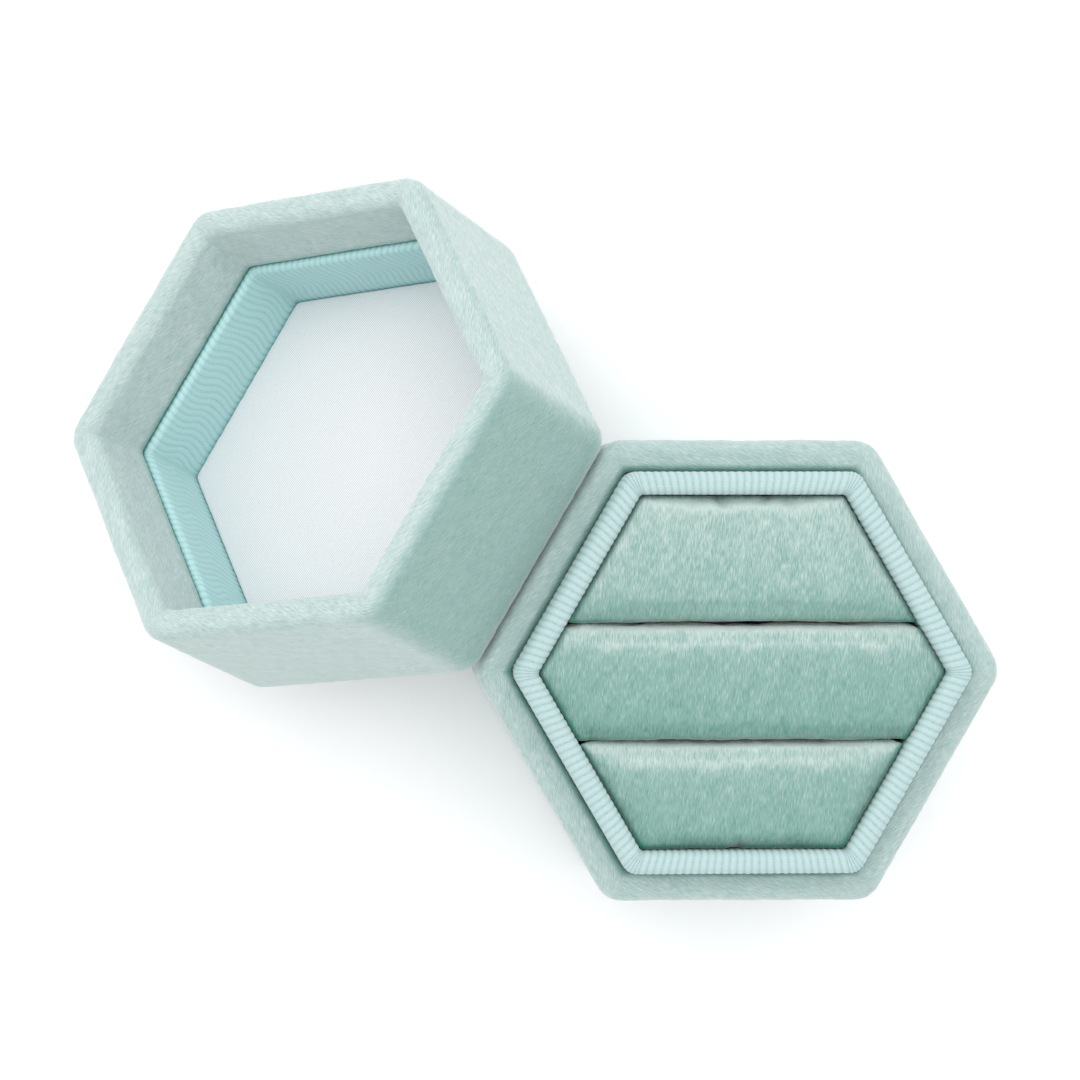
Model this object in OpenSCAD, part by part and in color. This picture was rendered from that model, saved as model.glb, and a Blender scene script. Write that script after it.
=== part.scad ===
// Hexagonal velvet ring box with a loose lid, shown open: the base stands on its
// underside and the lid leans against the base's rim with its opening turned up.
// Origin: centre of the underside. +Z is up, the two ring slots run along X.
// All sizes are in millimetres.

/* [Box] */
// Width of the box across two opposite flat sides, velvet included
box_flats = 48; // [42:1:60]
// Radius of the six upright corners
corner_r = 3; // [2:0.5:5]

/* [Base] */
// Height of the base from its underside to the velvet rim
base_h = 29; // [24:1:36]
// Radius of the rim's outer edge
base_edge_r = 1.5; // [1:0.25:2.5]
// Thickness of the wall board
base_board_t = 2; // [1.5:0.25:3]
// Thickness of the bottom board
bottom_board_t = 2; // [1.5:0.25:3]
// Thickness of the cover glued under the base
underside_cover_t = 0.4; // [0.3:0.1:1]
// Distance from the outside of the base in to the underside cover's edge
underside_margin = 1.5; // [1:0.25:4]

/* [Velvet covering] */
// Thickness of the velvet on the outside and over the rims
velvet_t = 0.8; // [0.5:0.1:1.2]
// Thickness of the velvet where it is turned in or under and pressed flat
turn_in_t = 0.5; // [0.3:0.1:0.8]
// How far the velvet reaches down inside the base's wall
turn_in_len = 12; // [6:1:16]
// How far the velvet reaches in under the bottom board
turn_under_len = 4; // [2.5:0.5:8]

/* [Collar] */
// Height of the collar above the rim
collar_rise = 4.5; // [3:0.5:7]
// Thickness of the collar board
collar_board_t = 1.6; // [1:0.2:2.4]
// Thickness of the grosgrain ribbon
ribbon_t = 0.4; // [0.3:0.05:0.6]
// How far the ribbon reaches down on each side of the collar
collar_ribbon_len = 10; // [6:1:14]

/* [Ring pads] */
// Distance of the pads' tops below the collar's top
pad_drop = 1.5; // [0.5:0.5:4]
// Width of each ring slot, for a ring's band
slot_w = 4.4; // [4.2:0.2:6]
// Place of the back slot's middle, along Y
back_slot_y = 5.1; // [4:0.1:7]
// Place of the front slot's middle, along Y
front_slot_y = -7.1; // [-8:0.1:-4]
// Thickness of the velvet on the pads
pad_velvet_t = 0.7; // [0.5:0.1:1]
// Thickness of the card under the pads
cushion_card_t = 0.6; // [0.4:0.1:1.2]
// Gap between the pads and the collar's lining
pad_clearance = 0.15; // [0.1:0.05:0.4]

/* [Lid] */
// Depth of the lid from its closed end to its rim
lid_h = 21.6; // [18:0.2:30]
// Radius of the edge round the closed end
lid_edge_r = 3; // [2:0.25:4]
// Radius of the rim's outer edge
lid_rim_r = 1.25; // [0.75:0.25:2]
// Gap on each side between the collar and the lid's lining when the box is closed
lid_fit = 0.3; // [0.2:0.05:0.5]
// Thickness of the board in the closed end
top_board_t = 2; // [1.5:0.25:3]
// Thickness of the soft padding between that board and the velvet
top_padding_t = 0.9; // [0.5:0.1:1.5]
// Distance from the outside of the lid in to the padding's edge
top_padding_margin = 1.8; // [1.5:0.1:4]

/* [Lid's ribbon ring] */
// Distance from the lid's rim down to the ring's top
ring_depth = 7.8; // [6:0.2:10]
// Thickness of the ring's card
ring_card_t = 0.85; // [0.6:0.05:1.5]

/* [Satin pad] */
// Thickness of the card in the satin pad
satin_card_t = 0.6; // [0.4:0.1:1.2]
// Thickness of the foam on that card
satin_foam_t = 0.85; // [0.5:0.05:2]
// Thickness of the satin
satin_t = 0.35; // [0.2:0.05:0.5]
// Gap between the satin pad and the ribbon ring
satin_clearance = 0.1; // [0.05:0.05:0.3]

/* [Leaning lid] */
// Gap between the leaning lid and the base's rim
rest_gap = 0.3; // [0.3:0.05:0.6]

/* [Hidden] */

velvet_colour = "#a9c8be";
pad_colour = "#9fc6bb";
ribbon_colour = "#bfe4de";
satin_colour = "#f3f4f4";
board_colour = "#b5a58c";
card_colour = "#d8d2c4";
foam_colour = "#efe6cc";
liner_colour = "#8fb3a8";

// Steps in each rounded corner of an outline, and the facets of a full turn to match
corner_steps = 6;
post_facets = 36;
// Steps in each rounded edge
edge_steps = 6;
// Least radius of an inner corner
least_r = 0.4;
// Overshoot of the cuts that go right through
cut = 1;

// Base, from the underside up
hem_z = underside_cover_t;
board_z = hem_z + turn_in_t;
base_floor_z = board_z + bottom_board_t;
base_board_flats = box_flats - 2 * velvet_t;
base_board_inner = base_board_flats - 2 * base_board_t;
base_board_top = base_h - velvet_t;

// Collar
collar_flats = base_board_inner - 2 * turn_in_t;
collar_board_flats = collar_flats - 2 * ribbon_t;
collar_board_inner = collar_board_flats - 2 * collar_board_t;
cavity_flats = collar_board_inner - 2 * ribbon_t;
collar_top = base_h + collar_rise;

// Pads
pad_flats = cavity_flats - 2 * pad_clearance;
pad_z = base_floor_z + cushion_card_t;
pad_top = collar_top - pad_drop;
back_pad_y = [back_slot_y + slot_w / 2, pad_flats / 2];
middle_pad_y = [front_slot_y + slot_w / 2, back_slot_y - slot_w / 2];
front_pad_y = [-pad_flats / 2, front_slot_y - slot_w / 2];

// Lid, from its closed end up to its rim
lining_flats = collar_flats + 2 * lid_fit;
lid_board_flats = box_flats - 2 * velvet_t;
lid_board_inner = lining_flats + 2 * turn_in_t;
lid_board_z = velvet_t + top_padding_t;
lid_floor_z = lid_board_z + top_board_t;
top_padding_flats = box_flats - 2 * top_padding_margin;
lid_board_top = lid_h - velvet_t;
ring_top = lid_h - ring_depth;
ring_card_flats = lining_flats - 2 * ribbon_t;
ring_card_inner = ring_card_flats - 2 * ring_card_t;
ring_inner = ring_card_inner - 2 * ribbon_t;
satin_flats = ring_inner - 2 * satin_clearance;
satin_core_flats = satin_flats - 2 * satin_t;
satin_foam_z = lid_floor_z + satin_card_t;
satin_core_top = satin_foam_z + satin_foam_t;

// The lid leans at the side whose outward direction is lean_dir degrees from +X.
// The centre of its rounded lower edge is level with the rim, and the rounded edge
// at the far side of its closed end stands on the table.
lean_dir = 150;
lean_angle = asin((base_h - lid_edge_r) / (box_flats - 2 * lid_edge_r));
touch_r = lid_edge_r + base_edge_r + rest_gap;
lean_out = sqrt(touch_r * touch_r - base_edge_r * base_edge_r) - base_edge_r;

// Radius of a corner that lies this far inside the box's outside
function inner_corner(flats) = max(corner_r - (box_flats - flats) / 2, least_r);

// Outline of a hexagon with rounded corners, with flat sides facing +Y and -Y
function hex_points(flats, r) = [
    for (side = [0:5]) for (s = [0:corner_steps])
        let (turn = 60 * side - 30 + 60 * s / corner_steps, reach = (flats / 2 - r) / cos(30))
        [reach * cos(60 * side) + r * cos(turn), reach * sin(60 * side) + r * sin(turn)]
];

module hex_area(flats) {
    polygon(hex_points(flats, inner_corner(flats)));
}

module hex_prism(flats, z0, z1) {
    translate([0, 0, z0])
        linear_extrude(z1 - z0)
            hex_area(flats);
}

module hex_tube(flats, inner, z0, z1) {
    translate([0, 0, z0])
        linear_extrude(z1 - z0)
            difference() {
                hex_area(flats);
                hex_area(inner);
            }
}

// A ribbon folded over the upper edge of a hexagonal tube
module folded_ribbon(flats, inner, z0, top) {
    difference() {
        hex_tube(flats, inner, z0, top);
        hex_tube(flats - 2 * ribbon_t, inner + 2 * ribbon_t, z0 - cut, top - ribbon_t);
    }
}

// How far a rounded edge of radius 1 has come up, and gone in, at each of its steps
function edge_rise(s) = sin(90 * s / edge_steps);
function edge_inset(s) = 1 - cos(90 * s / edge_steps);

// Radius of a corner post where the outline has come in this far
function post_r(r, inset) = max(r - inset, least_r);

// The rounded ends of the six corner posts, standing on z = 0 with their narrow ends
// up. An edge may be rounder than the corners: its posts then step in with the outline.
module rounded_ends(flats, r, edge) {
    for (side = [0:5], s = [0:edge_steps - 1])
        let (low = edge * edge_inset(s), high = edge * edge_inset(s + 1))
            rotate(60 * side)
                translate([(flats / 2 - high - post_r(r, high)) / cos(30), 0, edge * edge_rise(s)])
                    cylinder(
                        h = edge * (edge_rise(s + 1) - edge_rise(s)),
                        r1 = post_r(r, low),
                        r2 = post_r(r, high),
                        $fn = post_facets
                    );
}

module rounded_hex(flats, r, z0, z1, low_r, high_r) {
    hull() {
        translate([0, 0, z0 + low_r])
            mirror([0, 0, 1])
                rounded_ends(flats, r, low_r);
        translate([0, 0, z1 - high_r])
            rounded_ends(flats, r, high_r);
    }
}

// A slice of the pads' hexagon between two places along Y
module pad_block(flats, y_range, z0, z1) {
    translate([0, 0, z0])
        linear_extrude(z1 - z0)
            intersection() {
                hex_area(flats);
                translate([-box_flats / 2, y_range[0]])
                    square([box_flats, y_range[1] - y_range[0]]);
            }
}

// The same range with both ends moved in by the velvet's thickness
function foam_range(y_range) = [y_range[0] + pad_velvet_t, y_range[1] - pad_velvet_t];

module foam_block(y_range) {
    color(foam_colour)
        pad_block(pad_flats - 2 * pad_velvet_t, foam_range(y_range), pad_z, pad_top - pad_velvet_t);
}

module pad_velvet(y_range) {
    color(pad_colour)
        difference() {
            pad_block(pad_flats, y_range, pad_z, pad_top);
            pad_block(pad_flats - 2 * pad_velvet_t, foam_range(y_range), pad_z - cut, pad_top - pad_velvet_t);
        }
}

// Puts the lid, made with its closed end on z = 0, where it leans against the base
module leaning() {
    rotate([0, 0, lean_dir])
        translate([box_flats / 2 + lean_out, 0, base_h])
            rotate([0, lean_angle, 0])
                translate([box_flats / 2 - lid_edge_r, 0, -lid_edge_r])
                    rotate([0, 0, 30])
                        children();
}

module base_underside_cover() {
    color(liner_colour)
        hex_prism(box_flats - 2 * underside_margin, 0, underside_cover_t);
}

module base_bottom_board() {
    color(board_colour)
        hex_prism(base_board_inner, board_z, base_floor_z);
}

module base_wall_board() {
    color(board_colour)
        hex_tube(base_board_flats, base_board_inner, board_z, base_board_top);
}

// One piece of velvet: turned under the bottom, up the outside, over the rim and in
module base_velvet_wrap() {
    color(velvet_colour)
        difference() {
            rounded_hex(box_flats, corner_r, hem_z, base_h, turn_in_t, base_edge_r);
            hex_tube(base_board_flats, base_board_inner, board_z, base_board_top);
            hex_prism(base_board_inner, board_z, base_h - turn_in_len);
            hex_prism(collar_flats, base_h - turn_in_len - cut, base_h + cut);
            hex_prism(box_flats - 2 * turn_under_len, hem_z - cut, board_z + cut);
        }
}

module collar_board() {
    color(card_colour)
        hex_tube(collar_board_flats, collar_board_inner, base_floor_z, collar_top - ribbon_t);
}

module collar_ribbon() {
    color(ribbon_colour)
        folded_ribbon(collar_flats, cavity_flats, collar_top - collar_ribbon_len, collar_top);
}

module cushion_card() {
    color(card_colour)
        hex_prism(pad_flats, base_floor_z, pad_z);
}

module back_foam() {
    foam_block(back_pad_y);
}

module middle_foam() {
    foam_block(middle_pad_y);
}

module front_foam() {
    foam_block(front_pad_y);
}

module back_pad_velvet() {
    pad_velvet(back_pad_y);
}

module middle_pad_velvet() {
    pad_velvet(middle_pad_y);
}

module front_pad_velvet() {
    pad_velvet(front_pad_y);
}

module lid_wall_board() {
    color(board_colour)
        leaning()
            hex_tube(lid_board_flats, lid_board_inner, lid_board_z, lid_board_top);
}

module lid_top_board() {
    color(board_colour)
        leaning()
            hex_prism(lid_board_inner, lid_board_z, lid_floor_z);
}

module lid_top_padding() {
    color(foam_colour)
        leaning()
            hex_prism(top_padding_flats, velvet_t, lid_board_z);
}

// One piece of velvet: over the closed end, up the outside, over the rim and down inside
module lid_velvet_wrap() {
    color(velvet_colour)
        leaning()
            difference() {
                rounded_hex(box_flats, corner_r, 0, lid_h, lid_edge_r, lid_rim_r);
                hex_prism(top_padding_flats, velvet_t, lid_floor_z - top_board_t / 2);
                hex_prism(lid_board_flats, lid_board_z, lid_floor_z);
                hex_tube(lid_board_flats, lid_board_inner, lid_floor_z - top_board_t / 2, lid_board_top);
                hex_prism(lining_flats, lid_floor_z - top_board_t / 2, lid_h + cut);
            }
}

module lid_ring_card() {
    color(card_colour)
        leaning()
            hex_tube(ring_card_flats, ring_card_inner, lid_floor_z, ring_top - ribbon_t);
}

module lid_ring_ribbon() {
    color(ribbon_colour)
        leaning()
            folded_ribbon(lining_flats, ring_inner, lid_floor_z, ring_top);
}

module satin_card() {
    color(card_colour)
        leaning()
            hex_prism(satin_core_flats, lid_floor_z, satin_foam_z);
}

module satin_foam() {
    color(foam_colour)
        leaning()
            hex_prism(satin_core_flats, satin_foam_z, satin_core_top);
}

module satin_cover() {
    color(satin_colour)
        leaning()
            difference() {
                hex_prism(satin_flats, lid_floor_z, satin_core_top + satin_t);
                hex_prism(satin_core_flats, lid_floor_z - cut, satin_core_top);
            }
}

base_underside_cover();
base_bottom_board();
base_wall_board();
base_velvet_wrap();
collar_board();
collar_ribbon();
cushion_card();
back_foam();
middle_foam();
front_foam();
back_pad_velvet();
middle_pad_velvet();
front_pad_velvet();
lid_wall_board();
lid_top_board();
lid_top_padding();
lid_velvet_wrap();
lid_ring_card();
lid_ring_ribbon();
satin_card();
satin_foam();
satin_cover();
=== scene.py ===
import math
import bmesh
import bpy
from mathutils import Matrix, Vector, noise


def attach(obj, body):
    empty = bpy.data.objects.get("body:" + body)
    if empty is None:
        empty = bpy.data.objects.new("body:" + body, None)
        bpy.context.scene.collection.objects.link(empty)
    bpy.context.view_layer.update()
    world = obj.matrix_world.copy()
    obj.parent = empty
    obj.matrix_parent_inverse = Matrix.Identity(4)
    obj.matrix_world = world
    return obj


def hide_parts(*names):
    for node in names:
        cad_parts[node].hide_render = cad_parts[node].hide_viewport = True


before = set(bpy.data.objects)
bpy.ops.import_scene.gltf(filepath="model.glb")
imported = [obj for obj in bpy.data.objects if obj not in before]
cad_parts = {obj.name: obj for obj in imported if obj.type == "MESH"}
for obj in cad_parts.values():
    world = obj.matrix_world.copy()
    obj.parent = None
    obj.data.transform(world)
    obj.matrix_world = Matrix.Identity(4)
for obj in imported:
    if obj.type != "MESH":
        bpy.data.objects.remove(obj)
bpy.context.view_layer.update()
scene = bpy.context.scene

# ---- Grey board: the walls and floors of base and lid ------------------------------
# Pressed grey board cut into strips and hexagons and glued edge to edge. It is all
# covered by velvet in the end, so only its fibres and its dull cut face matter.
MM = 0.001


def colour(code):
    """A hex colour as the linear colour that a shader takes."""
    parts = [int(code[i:i + 2], 16) / 255 for i in (1, 3, 5)]
    return [p / 12.92 if p <= 0.04045 else ((p + 0.055) / 1.055) ** 2.4 for p in parts] + [1]


def new_material(name, roughness, **sockets):
    """A material with its shader ready. Returns the material, its nodes and a linker."""
    made = bpy.data.materials.new(name)
    made.use_nodes = True
    shader = made.node_tree.nodes["Principled BSDF"]
    shader.inputs["Roughness"].default_value = roughness
    for socket, value in sockets.items():
        shader.inputs[socket.replace("_", " ").title().replace("Ior", "IOR")].default_value = value
    return made, made.node_tree.nodes, made.node_tree.links.new, shader


def add_noise(nodes, link, source, scale, turn=0.0, detail=2.0, rough=0.5):
    """A noise pattern, stretched by its scale along each axis and turned in its plane."""
    spot = nodes.new("ShaderNodeMapping")
    spot.vector_type = "POINT"
    spot.inputs["Rotation"].default_value[2] = math.radians(turn)
    stretch = nodes.new("ShaderNodeMapping")
    stretch.inputs["Scale"].default_value = scale
    pattern = nodes.new("ShaderNodeTexNoise")
    pattern.inputs["Scale"].default_value = 1.0
    pattern.inputs["Detail"].default_value = detail
    pattern.inputs["Roughness"].default_value = rough
    link(source, spot.inputs["Vector"])
    link(spot.outputs["Vector"], stretch.inputs["Vector"])
    link(stretch.outputs["Vector"], pattern.inputs["Vector"])
    return pattern.outputs["Fac"]


def add_ramp(nodes, link, source, stops):
    """Colours along a pattern, from (place, hex colour) stops."""
    ramp = nodes.new("ShaderNodeValToRGB")
    marks = ramp.color_ramp.elements
    marks[0].position, marks[1].position = stops[0][0], stops[-1][0]
    marks[0].color, marks[1].color = colour(stops[0][1]), colour(stops[-1][1])
    for place, code in stops[1:-1]:
        marks.new(place).color = colour(code)
    link(source, ramp.inputs["Fac"])
    return ramp.outputs["Color"]


def add_bump(nodes, link, shader, layers):
    """Relief from (height, strength, depth in mm) layers, one over another."""
    before = None
    for height, strength, depth in layers:
        bump = nodes.new("ShaderNodeBump")
        bump.inputs["Strength"].default_value = strength
        bump.inputs["Distance"].default_value = depth * MM
        link(height, bump.inputs["Height"])
        if before is not None:
            link(before, bump.inputs["Normal"])
        before = bump.outputs["Normal"]
    link(before, shader.inputs["Normal"])


def pressed_material(name, dark, light, grain):
    """Board, card, foam or flock: short fibres or cells, the same in every direction."""
    made, nodes, link, shader = new_material(name, 0.9, specular_ior_level=0.25)
    place = nodes.new("ShaderNodeTexCoord").outputs["Object"]
    fibres = add_noise(nodes, link, place, (grain, grain, grain), 30, 4)
    link(add_ramp(nodes, link, fibres, [(0.3, dark), (0.7, light)]), shader.inputs["Base Color"])
    add_bump(nodes, link, shader, [(fibres, 0.5, 0.12)])
    return made


def finish_nodes(names, material):
    """Gives parts whose shape stays as designed their material and their finish."""
    for name in names:
        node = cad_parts[name]
        node.data.materials.clear()
        node.data.materials.append(material)


board = pressed_material("grey_board", "#a4947b", "#c4b69c", 3500)
finish_nodes(["base_bottom_board", "base_wall_board", "lid_wall_board", "lid_top_board"], board)

# ---- Velvet on the base ------------------------------------------------------------
# One strip of short-pile velvet wrapped round the wall, glued, turned in over the rim
# and turned under the bottom. The pile lies along the box, leaning a little downwards.
BOX_FLATS = 48.0
CENTRE = BOX_FLATS / 2
CORNER_R = 3.0
BASE_H = 29.0
WELD = 0.002


def hex_spot(flats, corner, turn, corner_steps, side_steps):
    """Place (mm) of one step round a rounded hexagon, counted from the middle of a corner."""
    per_side = corner_steps + side_steps
    side, step = divmod(turn + corner_steps // 2, per_side)
    reach = (flats / 2 - corner) / math.cos(math.radians(30))
    here = math.radians(60 * side)
    if step <= corner_steps:
        angle = here + math.radians(-30 + 60 * step / corner_steps)
        return (reach * math.cos(here) + corner * math.cos(angle),
                reach * math.sin(here) + corner * math.sin(angle))
    share = (step - corner_steps) / side_steps
    there, facing = here + math.radians(60), here + math.radians(30)
    x = reach * (math.cos(here) * (1 - share) + math.cos(there) * share) + corner * math.cos(facing)
    y = reach * (math.sin(here) * (1 - share) + math.sin(there) * share) + corner * math.sin(facing)
    return x, y


def arc(inset, z, radius, start, end, steps):
    """Points (inset from the box's outside, height) on an arc of a section."""
    turns = [math.radians(start + (end - start) * i / steps) for i in range(steps + 1)]
    return [(inset + radius * math.cos(t), z + radius * math.sin(t)) for t in turns]


def run(start, end, step):
    """Evenly spaced points on a straight part of a section, the last one left out."""
    count = max(1, round(math.dist(start, end) / step))
    (x, z), (far_x, far_z) = start, end
    return [(x + (far_x - x) * i / count, z + (far_z - z) * i / count) for i in range(count)]


def wrapped(name, section, corner_steps, side_steps, corner_of,
            loop=True, flat_rings=(), place=None, shape=None, stored=None):
    """Cloth wrapped round the hexagon: a flat grid, its columns set round the box and its
    rows along the section. UV is the real distance in mm. The seams are welded before shape
    moves any point, so that both sides of a seam move as one."""
    around = 6 * (corner_steps + side_steps)
    rows = section + [section[0]] if loop else section
    along = [0.0]
    for a, b in zip(rows, rows[1:]):
        along.append(along[-1] + math.dist(a, b))
    bm = bmesh.new()
    uv = bm.loops.layers.uv.new("UVMap")
    if stored:
        bm.verts.layers.float.new(stored)
    bmesh.ops.create_grid(bm, x_segments=around, y_segments=len(rows) - 1, size=1)

    def spot(i, inset):
        """Where a point of the cloth goes, in mm from the middle."""
        return hex_spot(BOX_FLATS - 2 * inset, corner_of(inset), i % around, corner_steps, side_steps)

    round_len = 6 * (BOX_FLATS / 2 - CORNER_R) / math.cos(math.radians(30)) + 2 * math.pi * CORNER_R
    at = {}
    for v in bm.verts:
        i = round((v.co.x + 1) / 2 * around)
        j = round((v.co.y + 1) / 2 * (len(rows) - 1))
        at[v] = (i, j)
    for f in bm.faces:
        planar = all(at[l.vert][1] in flat_rings for l in f.loops)
        for l in f.loops:
            i, j = at[l.vert]
            l[uv].uv = spot(i, rows[j][0]) if planar else (round_len * i / around, along[j])
    for v in bm.verts:
        i, j = at[v]
        v.co = (*spot(i, rows[j][0]), rows[j][1])
    bmesh.ops.remove_doubles(bm, verts=bm.verts, dist=WELD)
    bmesh.ops.recalc_face_normals(bm, faces=bm.faces)
    if shape is not None:
        shape(bm, at, rows, along, around)
    if place is not None:
        bm.transform(place)
    bm.transform(Matrix.Scale(MM, 4))
    return finished(name, bm)


def finished(name, bm):
    """Puts a finished mesh into the scene as a smooth-shaded object."""
    mesh = bpy.data.meshes.new(name)
    bm.to_mesh(mesh)
    bm.free()
    mesh.polygons.foreach_set("use_smooth", [True] * len(mesh.polygons))
    made = bpy.data.objects.new(name, mesh)
    scene.collection.objects.link(made)
    return made


def nap(piece, height, size, shown=lambda co: 1.0):
    """Clumps of pile: moves each point along its normal by a soft random height (mm)."""
    mesh = piece.data
    normals = [v.normal.copy() for v in mesh.vertices]
    for v, n in zip(mesh.vertices, normals):
        p = v.co / (size * MM)
        lump = noise.noise(p) + 0.6 * noise.noise(p * 2.3)
        v.co += n * (height * MM * lump * shown(v.co))
    mesh.update()


def lay_pile_and_shade(piece, tone_of):
    """Stores how much paler or darker the pile is drawn at each point: partly from how it lies there,
    partly painted light and shade.
    """
    lie = piece.data.attributes.new("lie", "FLOAT", "POINT")
    lie.data.foreach_set("value", [tone_of(v.co / MM, v.normal) for v in piece.data.vertices])


def velvet_material(name, crease_shade_colour, shade, body, light, along_uv, lean, streaks):
    """Short cut pile: fine streaks along the lie of the pile, faint clumps, a pale sheen.
    A value stored on each point is added to the pattern: painted shade pulls creases to the darkest colour,
    and painted light and shade make other places paler or darker."""
    made, nodes, link, shader = new_material(
        name, 0.9, specular_ior_level=0.15,
        sheen_weight=0.9, sheen_roughness=0.38, sheen_tint=colour("#eef5f3"))
    kit = nodes.new("ShaderNodeTexCoord")
    if along_uv:
        source, unit = kit.outputs["UV"], 1.0
        fine, clump = (streaks[0], streaks[1], 1), (0.35, 0.9, 1)
    else:
        source, unit = kit.outputs["Object"], 1 / MM
        fine = (streaks[1] * unit, streaks[0] * unit, streaks[0] * unit)
        clump = (0.9 * unit, 0.35 * unit, 0.35 * unit)
    hairs = add_noise(nodes, link, source, fine, lean, 2, 0.55)
    wisps = add_noise(nodes, link, source, tuple(0.55 * x for x in fine), lean + 9, 1)
    soft = add_noise(nodes, link, source, clump, lean, 2)
    both = nodes.new("ShaderNodeMix")
    both.inputs["Factor"].default_value = 0.22
    link(hairs, both.inputs["A"])
    link(wisps, both.inputs["B"])
    mix = nodes.new("ShaderNodeMix")
    mix.inputs["Factor"].default_value = 0.16
    link(both.outputs["Result"], mix.inputs["A"])
    link(soft, mix.inputs["B"])
    # Painted light and shade, partly the lie of the pile: the stored value shifts the colour of each point.
    lie = nodes.new("ShaderNodeAttribute")
    lie.attribute_name = "lie"
    tone = nodes.new("ShaderNodeMath")
    tone.operation = "ADD"
    link(mix.outputs["Result"], tone.inputs[0])
    link(lie.outputs["Fac"], tone.inputs[1])
    stops = [(0.04, crease_shade_colour), (0.24, shade), (0.5, body), (0.76, light)]
    link(add_ramp(nodes, link, tone.outputs["Value"], stops), shader.inputs["Base Color"])
    add_bump(nodes, link, shader, [(soft, 0.2, 0.2), (both.outputs["Result"], 0.8, 0.12)])
    return made


velvet = velvet_material("velvet", "#2f7f6a", "#739c94", "#9db4b1", "#c9d4d3", True, 22, (1.2, 13.0))

BASE_RIM_R = 1.5
FOOT_R = 0.5
HEM_Z = 0.4
HEM_INSET = 4.0
ROLL_INSET = 2.4
ROLL_R = 0.92
LINING_FOOT = 17.0
LINING_BACK = 2.85
wall_top = BASE_H - BASE_RIM_R
base_section = run((HEM_INSET, HEM_Z), (FOOT_R, HEM_Z), 0.5)
base_section += arc(FOOT_R, HEM_Z + FOOT_R, FOOT_R, 270, 180, 4)[:-1]
base_section += run((0.0, HEM_Z + FOOT_R), (0.0, wall_top), 0.36)
base_section += arc(BASE_RIM_R, wall_top, BASE_RIM_R, 180, 90, 11)[:-1]
base_section += run((BASE_RIM_R, BASE_H), (ROLL_INSET, BASE_H), 0.2)
base_section += arc(ROLL_INSET, BASE_H - ROLL_R, ROLL_R, 90, 0, 9)[:-1]
base_section += run((ROLL_INSET + ROLL_R, BASE_H - ROLL_R), (3.28, LINING_FOOT), 1.6)
base_section += run((LINING_BACK, LINING_FOOT), (LINING_BACK, BASE_H - 1.2), 3.0)
base_section += [(2.6, BASE_H - 0.62), (1.5, BASE_H - 0.5), (0.75, BASE_H - 1.2)]
base_section += run((0.5, wall_top), (0.5, 0.95), 4.0)
base_section += run((0.9, 0.85), (HEM_INSET, 0.85), 1.6)


def follow_corner(least):
    """Corners that get tighter further in, but never tighter than least."""
    return lambda inset: max(CORNER_R - inset, least)


def level(value, low, high):
    """0 at low, 1 at high and even in between."""
    return min(1.0, max(0.0, (value - low) / (high - low)))


def inset_of(p, flats=BOX_FLATS):
    """How far in (mm) a point is from the sides of a hexagon."""
    sides = [math.radians(30 + 60 * k) for k in range(6)]
    return flats / 2 - max(p.x * math.cos(a) + p.y * math.sin(a) for a in sides)


def base_crease_shade(p, n):
    """Painted shade: darker down in the crease at the collar, over a small lift of the whole base's pile.
    """
    return 0.04 - 0.4 * level(inset_of(p), 2.5, 3.3)


def settle_base(bm, at, rows, along, around):
    """The rim isn't quite even: hand-turned velvet stands higher and wider in places."""
    for v in bm.verts:
        rise = max(0.0, (v.co.z - 20.0) / 9.0)
        wave = noise.noise(Vector((v.co.x, v.co.y, 3.0)) / 7.0)
        out = Vector((v.co.x, v.co.y, 0)).normalized()
        if rows[at[v][1]][0] < 3.0:
            v.co += out * (0.09 * wave * rise) + Vector((0, 0, 0.1 * wave * rise * rise))


base_velvet = wrapped("base_velvet", base_section, 10, 80, follow_corner(0.9), shape=settle_base)
nap(base_velvet, 0.055, 0.9, lambda co: 1.0 if co.z > 0.001 else 0.2)
lay_pile_and_shade(base_velvet, base_crease_shade)
base_velvet.data.materials.append(velvet)
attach(base_velvet, "base")
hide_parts("base_velvet_wrap")

# ---- Cover under the base ----------------------------------------------------------
# A hexagon of flocked paper glued over the turned-under velvet and the bottom board.
flock = pressed_material("flock_paper", "#7fa598", "#9dbfb3", 9000)
COVER_INSET = 1.5
COVER_LOW = 0.02
COVER_HIGH = 0.39
cover_section = [(CENTRE, COVER_LOW)] + run((20.0, COVER_LOW), (1.8, COVER_LOW), 1.0)
cover_section += [(1.56, 0.06), (COVER_INSET, 0.2), (1.56, 0.36)]
cover_section += run((1.8, COVER_HIGH), (20.0, COVER_HIGH), 3.0) + [(CENTRE, COVER_HIGH)]
cover = wrapped("underside_cover", cover_section, 4, 12,
                lambda inset: min(CORNER_R - COVER_INSET, 0.4 * (CENTRE - inset)), loop=False)
cover.data.materials.append(flock)
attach(cover, "base")
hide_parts("base_underside_cover")

# ---- Collar ------------------------------------------------------------------------
# A card tube glued inside the wall, with grosgrain ribbon folded over its upper edge.
# The ribbon's ribs run across it, and they fan out where it turns a corner.
card = pressed_material("white_card", "#cfc8b8", "#e4dfd2", 5000)
finish_nodes(["collar_board", "cushion_card", "lid_ring_card", "satin_card"], card)

COLLAR_INSET = 3.3
RIBS_PER_SIDE = 28
RIBS_PER_CORNER = 4
STEPS_PER_RIB = 8
COLLAR_TOP = 33.5
CAVITY_INSET = 5.7


def rib_height(turn, shift, steps=STEPS_PER_RIB):
    """1 on top of a rib and 0 in the groove beside it, with a narrow groove."""
    wave = abs(math.sin(math.pi * (turn / steps + shift)))
    return wave ** 0.55


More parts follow.
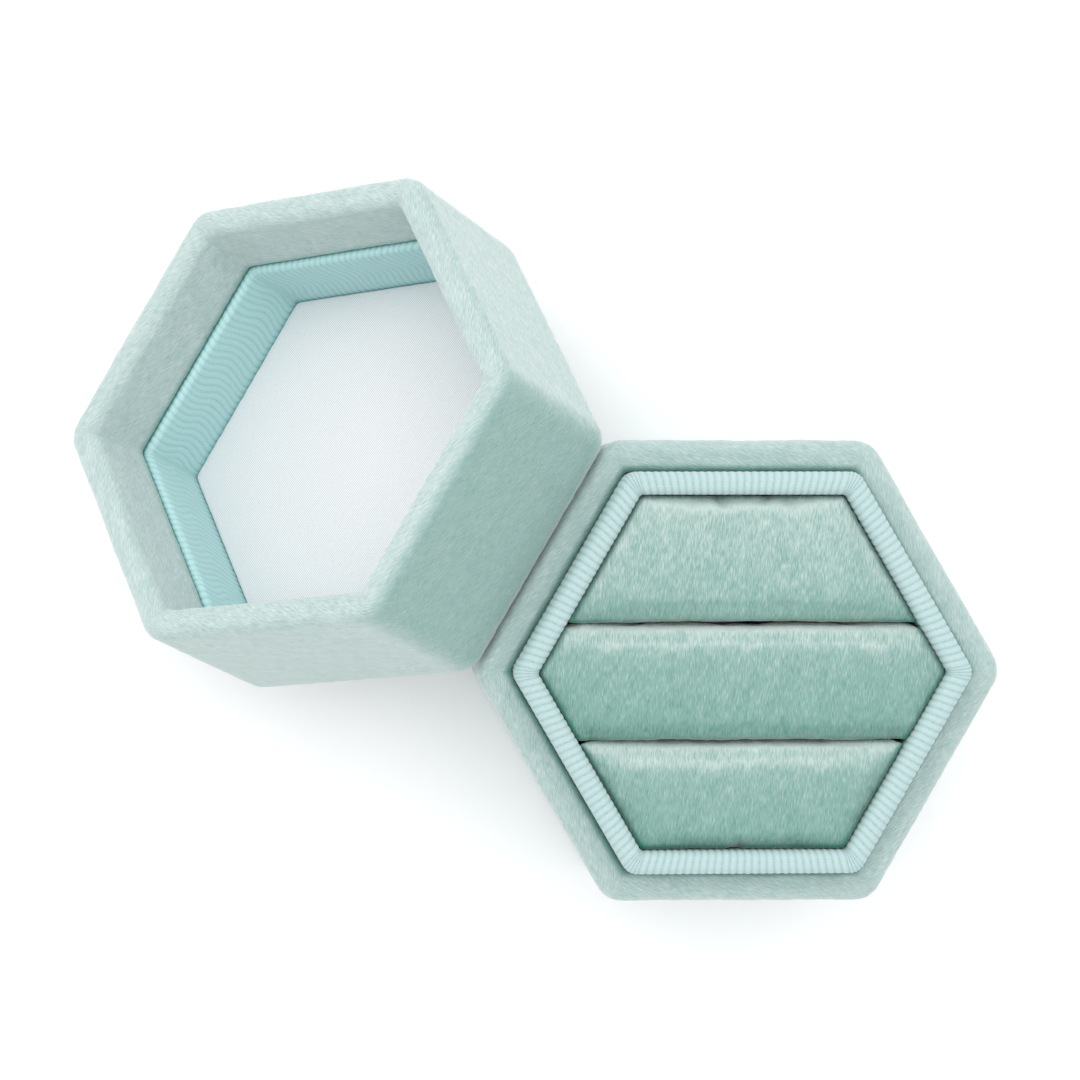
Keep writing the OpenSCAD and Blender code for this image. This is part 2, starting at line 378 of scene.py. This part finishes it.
def ribbon_material(name, crease_shade_colour, shade, body, light):
    """Ribbed silk ribbon: ribs painted pale as a highlight, grooves painted in shade, and fine threads
    across them.
    """
    made, nodes, link, shader = new_material(
        name, 0.6, specular_ior_level=0.3,
        sheen_weight=0.25, sheen_roughness=0.4, sheen_tint=colour("#f2fbfa"))
    place = nodes.new("ShaderNodeTexCoord").outputs["UV"]
    threads = add_noise(nodes, link, place, (9.0, 3.0, 1), 12, 2)
    patches = add_noise(nodes, link, place, (0.35, 0.5, 1), 0, 2)
    ribs = nodes.new("ShaderNodeAttribute")
    ribs.attribute_name = "rib"
    dashes = nodes.new("ShaderNodeTexWave")
    dashes.bands_direction = "Y"
    dashes.inputs["Scale"].default_value = 1.05
    dashes.inputs["Distortion"].default_value = 1.5
    dashes.inputs["Detail"].default_value = 1.0
    link(place, dashes.inputs["Vector"])
    stops = [(0.0, crease_shade_colour), (0.3, shade), (0.6, body), (1.0, light)]
    tint = add_ramp(nodes, link, ribs.outputs["Fac"], stops)
    fleck = nodes.new("ShaderNodeMix")
    fleck.data_type = "RGBA"
    fleck.blend_type = "MULTIPLY"
    fleck.inputs["Factor"].default_value = 0.5
    link(tint, fleck.inputs["A"])
    link(add_ramp(nodes, link, threads, [(0.3, "#d8e6e4"), (0.7, "#ffffff")]), fleck.inputs["B"])
    link(fleck.outputs["Result"], shader.inputs["Base Color"])
    add_bump(nodes, link, shader, [
        (patches, 0.2, 0.2), (dashes.outputs["Fac"], 0.3, 0.05), (threads, 0.5, 0.05)])
    return made


grosgrain = ribbon_material("grosgrain", "#4f9a8e", "#8db2b0", "#a2bcbc", "#b4c7c8")


def ribbed(depth, stagger, pleats, shown):
    """Raises ribs on the outside of a ribbon, and stores them for its colour: painted shade in the grooves,
    painted highlight on the rib tops. shown is painted shade: it fades them to the darkest colour where the
    ribbon goes down into a crease."""
    def shape(bm, at, rows, along, around):
        bm.normal_update()
        layer = bm.verts.layers.float["rib"]
        moves = []
        for v in bm.verts:
            i, j = at[v]
            zig = stagger * math.sin(along[j] * 2.6)
            drift = 1.6 * noise.noise(Vector((i % around * 0.012, 0, 2.0)))
            sway = pleats * (math.sin(along[j] * 0.9 + drift)
                             + 0.8 * noise.noise(Vector((v.co.x, v.co.y, v.co.z)) * 0.35))
            rib = rib_height(i % around, zig + sway)
            # Painted shade and highlight: grooves take the shade colour, rib tops the light one, and
            # creases the darkest.
            v[layer] = (0.3 + 0.7 * rib) * shown(*rows[j])
            moves.append((v, v.normal * (depth * (rib - 1.0))))
        for v, move in moves:
            v.co += move
    return shape


COLLAR_FOOT = 23.5
FOLD_R = 0.95
RIBBON_T = 0.32
fold_z = COLLAR_TOP - FOLD_R
collar_section = run((COLLAR_INSET, COLLAR_FOOT), (COLLAR_INSET, 28.6), 1.2)
collar_section += run((COLLAR_INSET, 28.6), (COLLAR_INSET, fold_z), 0.26)
collar_section += arc(COLLAR_INSET + FOLD_R, fold_z, FOLD_R, 180, 90, 8)[:-1]
collar_section += run((COLLAR_INSET + FOLD_R, COLLAR_TOP), (CAVITY_INSET - FOLD_R, COLLAR_TOP), 0.17)
collar_section += arc(CAVITY_INSET - FOLD_R, fold_z, FOLD_R, 90, 0, 8)[:-1]
collar_section += run((CAVITY_INSET, fold_z), (CAVITY_INSET, 30.5), 0.26)
collar_section += run((CAVITY_INSET, 30.5), (CAVITY_INSET, COLLAR_FOOT), 1.8)
collar_section += run((CAVITY_INSET - RIBBON_T, COLLAR_FOOT), (CAVITY_INSET - RIBBON_T, 32.6), 4.0)
collar_section += [(CAVITY_INSET - 0.7, 33.0), (COLLAR_INSET + 0.7, 33.0)]
collar_section += run((COLLAR_INSET + RIBBON_T, 32.6), (COLLAR_INSET + RIBBON_T, COLLAR_FOOT), 4.0)


def collar_crease_shade(inset, z):
    """Painted shade: drawn to the crease colour below the velvet rim outside and below the pads inside."""
    return level(z, 28.8, 29.6) if inset < 4.5 else level(z, 31.2, 32.5)


corner_rib_steps = RIBS_PER_CORNER * STEPS_PER_RIB
side_rib_steps = RIBS_PER_SIDE * STEPS_PER_RIB
collar = wrapped("collar_ribbon_ribbed", collar_section, corner_rib_steps, side_rib_steps,
                 lambda inset: max(1.7 - 0.5 * (inset - COLLAR_INSET), 0.5),
                 shape=ribbed(0.1, 0.04, 0.0, collar_crease_shade), stored="rib")
collar.data.materials.append(grosgrain)
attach(collar, "base")
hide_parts("collar_ribbon")

# ---- Ring pads ---------------------------------------------------------------------
# Three foam blocks, each covered in its own piece of velvet that is drawn down tight
# over its edges. They stand side by side, and the rings go in the slits between them.
foam = pressed_material("foam", "#e2d8bb", "#f1e9d2", 2600)
finish_nodes(["back_foam", "middle_foam", "front_foam", "lid_top_padding", "satin_foam"], foam)
pad_velvet = velvet_material(
    "pad_velvet", "#2c7f68", "#5b897d", "#84a59e", "#bccbc7", False, 4, (1.2, 13.0))

PAD_FLATS = 36.3
CAVITY_FLATS = 36.5
PAD_Z = 3.52
PAD_TOP = 32.0
SLIT_GAP = 0.06
SLITS = (5.1, -7.1)
SWELL = 0.8
HELD_BELOW = 25.0
SIM_SCALE = 25.0
SIM_FRAMES = 20
EVEN_STEP = 0.6


def pad_shape(low_y, high_y):
    """A block of the hexagon between two slits, with its upper edges rounded."""
    bm = bmesh.new()
    ring = bmesh.ops.create_circle(bm, cap_ends=True, segments=6,
                                   radius=(PAD_FLATS / 2) / math.cos(math.radians(30)))
    turn = Matrix.Rotation(math.radians(30), 4, "Z")
    bmesh.ops.transform(bm, matrix=turn, verts=ring["verts"])
    bmesh.ops.translate(bm, vec=(0, 0, PAD_Z), verts=bm.verts)
    up = bmesh.ops.extrude_face_region(bm, geom=bm.faces[:])
    lifted = [g for g in up["geom"] if isinstance(g, bmesh.types.BMVert)]
    bmesh.ops.translate(bm, vec=(0, 0, PAD_TOP - 0.15 - PAD_Z), verts=lifted)
    for y, side in ((low_y, -1), (high_y, 1)):
        cut = bmesh.ops.bisect_plane(bm, geom=bm.verts[:] + bm.edges[:] + bm.faces[:],
                                     plane_co=(0, y, 0), plane_no=(0, side, 0), clear_outer=True)
        edges = [g for g in cut["geom_cut"] if isinstance(g, bmesh.types.BMEdge)]
        if edges:
            bmesh.ops.contextual_create(bm, geom=edges)
    bmesh.ops.recalc_face_normals(bm, faces=bm.faces)
    top = [e for e in bm.edges if all(v.co.z > PAD_TOP - 1 for v in e.verts)]
    bmesh.ops.bevel(bm, geom=top, offset=1.0, offset_type="OFFSET", segments=5,
                    profile=0.5, affect="EDGES", material=-1)
    upright = [e for e in bm.edges if abs(e.verts[0].co.z - e.verts[1].co.z) > 15]
    bmesh.ops.bevel(bm, geom=upright, offset=0.15, offset_type="OFFSET", segments=2,
                    profile=0.5, affect="EDGES", material=-1)
    return bm


def swell(piece):
    """The velvet over the foam, blown up like a cushion at a larger scale, then brought back."""
    rest = [v.co.copy() for v in piece.data.vertices]
    piece.data.transform(Matrix.Scale(SIM_SCALE, 4))
    cloth = piece.modifiers.new("cloth", "CLOTH")
    cloth.settings.use_pressure = True
    cloth.settings.uniform_pressure_force = 4
    cloth.settings.effector_weights.gravity = 0
    cloth.settings.shrink_min = -0.06
    held = piece.vertex_groups.new(name="held")
    held.add([v.index for v in piece.data.vertices if v.co.z < HELD_BELOW * MM * SIM_SCALE], 1.0, "REPLACE")
    cloth.settings.vertex_group_mass = "held"
    scene.frame_start, scene.frame_end = 1, SIM_FRAMES
    for step in range(1, SIM_FRAMES + 1):
        scene.frame_set(step)
    posed = piece.evaluated_get(bpy.context.evaluated_depsgraph_get()).to_mesh()
    moved = [v.co / SIM_SCALE for v in posed.vertices]
    piece.modifiers.remove(cloth)
    piece.data.transform(Matrix.Scale(1 / SIM_SCALE, 4))
    scene.frame_set(1)
    return rest, moved


def pad_pile_and_shade(p, n):
    """Paler towards the back edge of each pad and on slopes facing the key light: partly the lie of the
    pile, partly painted light. Painted highlight on turned-down edges, painted shade in the creases round
    it, and the back pad a little paler.
    """
    low = max([y for y in SLITS if y < p.y] + [-CAVITY_FLATS / 2])
    high = min([y for y in SLITS if y >= p.y] + [CAVITY_FLATS / 2])
    # Painted shade: the creases at the collar and at the slits.
    at_collar = level(inset_of(p, CAVITY_FLATS), 0.6, 0.05)
    crease = max(at_collar, 0.8 * level(min(p.y - low, high - p.y), 0.45, 0.1))
    # The back pad is drawn a little paler than the other two.
    back_pad_paler = 0.04 if p.y > SLITS[0] else -0.05
    # Painted light, partly the lie of the pile: paler towards the back and on slopes that face the key
    # light.
    back_light_and_lie = 0.13 * (level(p.y, low, high) - 0.45) + 0.2 * n.y
    # Painted highlight where the pile turns down over an edge, painted shade in the creases.
    return back_pad_paler + back_light_and_lie + 0.3 * (1 - n.z) * (1 - crease) - 0.34 * crease


def slit_edge(slit, x, side):
    """The y (m) where a pad stops at a slit, which two soft pads press into a faint wave."""
    return (slit + 0.16 * noise.noise(Vector((x / MM / 4.5, slit, 0.0))) + side * SLIT_GAP / 2) * MM


def ring_pad(name, node, low_y, high_y):
    """One pad: its block is made even, blown up, pressed against its neighbours and napped."""
    bm = pad_shape(low_y + 0.15, high_y - 0.4)
    bm.transform(Matrix.Scale(MM, 4))
    piece = finished(name, bm)
    even = piece.modifiers.new("even", "REMESH")
    even.mode = "VOXEL"
    even.voxel_size = EVEN_STEP * MM
    made = bpy.data.meshes.new_from_object(piece.evaluated_get(bpy.context.evaluated_depsgraph_get()))
    piece.modifiers.clear()
    piece.data = made
    rest, moved = swell(piece)
    for v, a, b in zip(piece.data.vertices, rest, moved):
        step = b - a
        if a.y > (high_y - 1.2) * MM:
            step.y = max(step.y, 0.0)
        if a.y < (low_y + 1.2) * MM:
            step.y = min(step.y, 0.0)
        if step.length > SWELL * MM:
            step *= SWELL * MM / step.length
        v.co = a + step
    for v in piece.data.vertices:
        v.co.y = min(max(v.co.y, slit_edge(low_y, v.co.x, 1)), slit_edge(high_y, v.co.x, -1))
        v.co.z = max(v.co.z, PAD_Z * MM)
        for k in range(6):
            side = math.radians(60 * k + 30)
            facing = Vector((math.cos(side), math.sin(side), 0))
            over = v.co.dot(facing) - CAVITY_FLATS / 2 * MM
            if over > 0:
                v.co -= facing * over
    finer = piece.modifiers.new("finer", "SUBSURF")
    finer.levels = finer.render_levels = 1
    piece.data = bpy.data.meshes.new_from_object(piece.evaluated_get(bpy.context.evaluated_depsgraph_get()))
    piece.modifiers.clear()
    piece.data.polygons.foreach_set("use_smooth", [True] * len(piece.data.polygons))
    nap(piece, 0.06, 1.0)
    lay_pile_and_shade(piece, pad_pile_and_shade)
    piece.data.materials.clear()
    piece.data.materials.append(pad_velvet)
    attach(piece, "base")
    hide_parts(node)


ring_pad("back_pad", "back_pad_velvet", SLITS[0], 30.0)
ring_pad("middle_pad", "middle_pad_velvet", SLITS[1], SLITS[0])
ring_pad("front_pad", "front_pad_velvet", -30.0, SLITS[1])

# ---- Velvet on the lid -------------------------------------------------------------
# One piece of velvet over the padded closed end, drawn down the six sides, over the rim
# and in. Inside, its pile stands over the upper edge of the ribbon ring.
LID_H = 21.6
LID_EDGE_R = 3.0
LID_RIM_R = 1.25
RING_TOP = 13.8
LEAN = math.asin((BASE_H - LID_EDGE_R) / (BOX_FLATS - 2 * LID_EDGE_R))
TOUCH = LID_EDGE_R + BASE_RIM_R + 0.3
LEAN_OUT = math.sqrt(TOUCH * TOUCH - BASE_RIM_R * BASE_RIM_R) - BASE_RIM_R
leaning = (
    Matrix.Rotation(math.radians(150), 4, "Z")
    @ Matrix.Translation((BOX_FLATS / 2 + LEAN_OUT, 0, BASE_H))
    @ Matrix.Rotation(LEAN, 4, "Y")
    @ Matrix.Translation((BOX_FLATS / 2 - LID_EDGE_R, 0, -LID_EDGE_R))
    @ Matrix.Rotation(math.radians(30), 4, "Z")
)
end_section = [(CENTRE, 0.0)] + run((23.4, 0.0), (LID_EDGE_R, 0.0), 0.55)
end_rings = range(0, len(end_section) + 1)
lid_section = end_section + arc(LID_EDGE_R, LID_EDGE_R, LID_EDGE_R, 270, 180, 13)[:-1]
lid_section += run((0.0, LID_EDGE_R), (0.0, LID_H - LID_RIM_R), 0.4)
lid_section += arc(LID_RIM_R, LID_H - LID_RIM_R, LID_RIM_R, 180, 90, 8)[:-1]
lid_section += run((LID_RIM_R, LID_H), (1.9, LID_H), 0.22)
lid_section += arc(1.9, LID_H - 1.3, 1.3, 90, 0, 9)[:-1]
lid_section += run((3.2, LID_H - 1.3), (4.05, RING_TOP + 0.62), 0.34)
lid_section += arc(3.55, RING_TOP + 0.62, 0.5, 0, -90, 4)[:-1]
lid_section += run((2.98, RING_TOP + 0.1), (2.98, 3.8), 1.8)
lid_section += run((2.6, 3.8), (2.6, LID_H - 1.4), 3.0)
lid_section += [(2.0, LID_H - 0.65), (1.2, LID_H - 0.6), (0.7, LID_H - 1.3)]
lid_section += run((0.5, LID_H - 2.0), (0.5, 3.2), 3.0) + [(1.2, 1.6), (2.2, 0.75)]
lid_section += run((3.0, 0.55), (23.4, 0.55), 2.5) + [(CENTRE, 0.55)]


def lid_corner(inset):
    """Corners of the lid's cloth, which close to a point in the middle of the end."""
    return max(min(CORNER_R - inset, 0.8 * (CENTRE - inset)), min(1.0, 0.4 * (CENTRE - inset)))


def settle_lid(bm, at, rows, along, around):
    """The padded closed end keeps its shape, and the rim is not quite even."""
    for v in bm.verts:
        inset, z = rows[at[v][1]]
        if z > 16:
            wave = noise.noise(Vector((v.co.x, v.co.y, 8.0)) / 8.0)
            v.co.z += 0.09 * wave * (z - 16) / 5.6
            v.co += Vector((v.co.x, v.co.y, 0)).normalized() * (0.07 * wave)


def lid_pile_and_shade(p, n):
    """The side next to the base is drawn darker: painted shade from the base beside it, partly the lie of
    the pile. Inside, past the rim, the pile is the same all round but for painted shade in the crease over
    the ribbon ring; the whole lid is drawn a little paler than the base."""
    unlean = leaning.inverted()
    local, turned = unlean @ p, unlean.to_3x3() @ n
    # Painted shade, partly the lie of the pile: darker on the side that faces the base.
    side = max(0.0, -turned.x * math.cos(math.radians(30)) + turned.y * math.sin(math.radians(30)))
    inset = inset_of(local)
    inside = level(inset, 1.4, 3.0) if local.z > RING_TOP - 1 else 0.0
    # Painted shade in the crease over the ribbon ring.
    crease = level(inset, 3.0, 3.5) * level(local.z, RING_TOP + 1.1, RING_TOP + 0.3)
    return 0.09 - 0.23 * side * side * (1 - inside) - 0.36 * crease * (1.0 if inside else 0.0)


lid_velvet = wrapped("lid_velvet", lid_section, 8, 56, lid_corner, loop=False,
                     flat_rings=end_rings, place=leaning, shape=settle_lid)
nap(lid_velvet, 0.055, 0.9, lambda co: min(1.0, max(0.0, co.z / (1.5 * MM))))
lay_pile_and_shade(lid_velvet, lid_pile_and_shade)
lid_velvet.data.materials.append(velvet)
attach(lid_velvet, "lid")
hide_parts("lid_velvet_wrap")

# ---- Ribbon ring in the lid --------------------------------------------------------
# A card ring with ribbon folded over its edge, pressed down round the satin pad. Drawn
# round the inside of the ring, the ribbon's ribs crease into wavy lines.
ring_grosgrain = ribbon_material("ring_grosgrain", "#4fa095", "#8fc2c1", "#a9d2d3", "#bcdadb")
RING_INSET = 4.65
ring_section = run((3.02, 3.8), (3.02, RING_TOP - 0.6), 2.2)
ring_section += arc(3.72, RING_TOP - 0.7, 0.7, 180, 90, 6)[:-1]
ring_section += run((3.72, RING_TOP), (RING_INSET - 0.7, RING_TOP), 0.12)
ring_section += arc(RING_INSET - 0.7, RING_TOP - 0.7, 0.7, 90, 0, 6)[:-1]
ring_section += run((RING_INSET, RING_TOP - 0.7), (RING_INSET, 5.0), 0.24)
ring_section += run((RING_INSET, 5.0), (RING_INSET, 3.8), 0.6)
ring_section += run((RING_INSET - 0.3, 3.8), (RING_INSET - 0.3, 12.8), 4.0)
ring_section += [(RING_INSET - 0.5, 13.3), (3.6, 13.3)] + run((3.32, 12.8), (3.32, 3.8), 4.0)


def ring_crease_shade(inset, z):
    """Painted shade: darker under the edge of the lining and down beside the satin pad."""
    return 0.2 + 0.8 * min(level(inset, 3.85, 4.2), level(z, 4.9, 6.1))


lid_ring = wrapped("lid_ring_ribbed", ring_section, corner_rib_steps, side_rib_steps,
                   lambda inset: max(1.6 - 0.6 * (inset - 3.0), 0.6), place=leaning,
                   shape=ribbed(0.07, 0.02, 0.5, ring_crease_shade), stored="rib")
lid_ring.data.materials.append(ring_grosgrain)
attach(lid_ring, "lid")
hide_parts("lid_ring_ribbon")

# ---- Satin pad ---------------------------------------------------------------------
# White satin drawn over thin foam on a card, and pushed down inside the ribbon ring.
# It is slightly crowned, and it puckers a little where it goes down at its edge.
SATIN_TOP = 5.5
SATIN_INSET = 4.67
SATIN_EDGE_R = 0.3


def satin_material():
    """White satin: a fine slanting twill with a soft gloss."""
    made, nodes, link, shader = new_material(
        "satin", 0.42, specular_ior_level=0.4,
        sheen_weight=0.2, sheen_roughness=0.3, anisotropic=0.4)
    place = nodes.new("ShaderNodeTexCoord").outputs["UV"]
    turned = nodes.new("ShaderNodeMapping")
    turned.inputs["Rotation"].default_value[2] = math.radians(38)
    link(place, turned.inputs["Vector"])
    twill = nodes.new("ShaderNodeTexWave")
    twill.inputs["Scale"].default_value = 1.36
    twill.inputs["Distortion"].default_value = 0.6
    twill.inputs["Detail"].default_value = 1.0
    link(turned.outputs["Vector"], twill.inputs["Vector"])
    threads = add_noise(nodes, link, place, (2.0, 9.0, 1), 38, 2)
    mix = nodes.new("ShaderNodeMix")
    mix.inputs["Factor"].default_value = 0.4
    link(twill.outputs["Fac"], mix.inputs["A"])
    link(threads, mix.inputs["B"])
    whites = add_ramp(nodes, link, mix.outputs["Result"], [(0.2, "#c4c6c9"), (0.75, "#e9eaec")])
    link(whites, shader.inputs["Base Color"])
    add_bump(nodes, link, shader, [(mix.outputs["Result"], 0.35, 0.04)])
    return made


satin_section = [(CENTRE, SATIN_TOP)] + run((23.4, SATIN_TOP), (SATIN_INSET + SATIN_EDGE_R, SATIN_TOP), 0.4)
satin_top_rings = range(0, len(satin_section) + 1)
satin_section += arc(SATIN_INSET + SATIN_EDGE_R, SATIN_TOP - SATIN_EDGE_R, SATIN_EDGE_R, 90, 180, 5)[:-1]
satin_section += run((SATIN_INSET, SATIN_TOP - SATIN_EDGE_R), (SATIN_INSET, 3.75), 0.35)
satin_section += run((SATIN_INSET + SATIN_EDGE_R, 3.73), (23.4, 3.73), 2.5) + [(CENTRE, 3.73)]


def crown_satin(bm, at, rows, along, around):
    """Raises the middle, draws the edge down and puckers it a little."""
    for v in bm.verts:
        inset, z = rows[at[v][1]]
        if z > 4.5:
            edge = min(1.0, (inset - SATIN_INSET) / 6.0)
            v.co.z += 0.35 * edge * (2 - edge) - 0.12
            near = max(0.0, 1 - (inset - SATIN_INSET) / 1.5)
            v.co.z += 0.07 * near * noise.noise(Vector((v.co.x, v.co.y, 0)) * 1.1)


satin = wrapped("satin_pad", satin_section, 4, 40,
                lambda inset: min(0.9, 0.4 * (CENTRE - inset)), loop=False,
                flat_rings=satin_top_rings, place=leaning, shape=crown_satin)
satin.data.materials.append(satin_material())
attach(satin, "lid")
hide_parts("satin_cover")

# ---- Table, light and camera -------------------------------------------------------
# A plain white table, a bright even room, and one large soft light behind the box.
bm = bmesh.new()
bmesh.ops.create_grid(bm, x_segments=1, y_segments=1, size=3.0)
floor = finished("table", bm)
paper, _, _, paper_shader = new_material("table_paper", 0.9)
paper_shader.inputs["Base Color"].default_value = (0.93, 0.93, 0.935, 1)
floor.data.materials.append(paper)

world = bpy.data.worlds.new("room")
world.use_nodes = True
world.node_tree.nodes["Background"].inputs["Color"].default_value = (1, 1, 1, 1)
world.node_tree.nodes["Background"].inputs["Strength"].default_value = 1.12
scene.world = world

key = bpy.data.lights.new("window", "AREA")
key.size, key.energy = 0.8, 3.4
key_object = bpy.data.objects.new("window", key)
scene.collection.objects.link(key_object)
key_object.location = (-0.12, 0.34, 0.78)
key_object.rotation_euler = (Vector((0, 0, 0.02)) - key_object.location).to_track_quat("-Z", "Y").to_euler()

lens = bpy.data.cameras.new("camera")
lens.sensor_width, lens.lens = 36.0, 107.21
lens.clip_start, lens.clip_end = 0.02, 10
camera = bpy.data.objects.new("camera", lens)
scene.collection.objects.link(camera)
camera.location = (-0.03639, 0.01654, 0.36182)
camera.rotation_euler = [math.radians(turn) for turn in (-0.4967, -2.6849, -0.0441)]
scene.camera = camera
scene.view_settings.view_transform = "Standard"
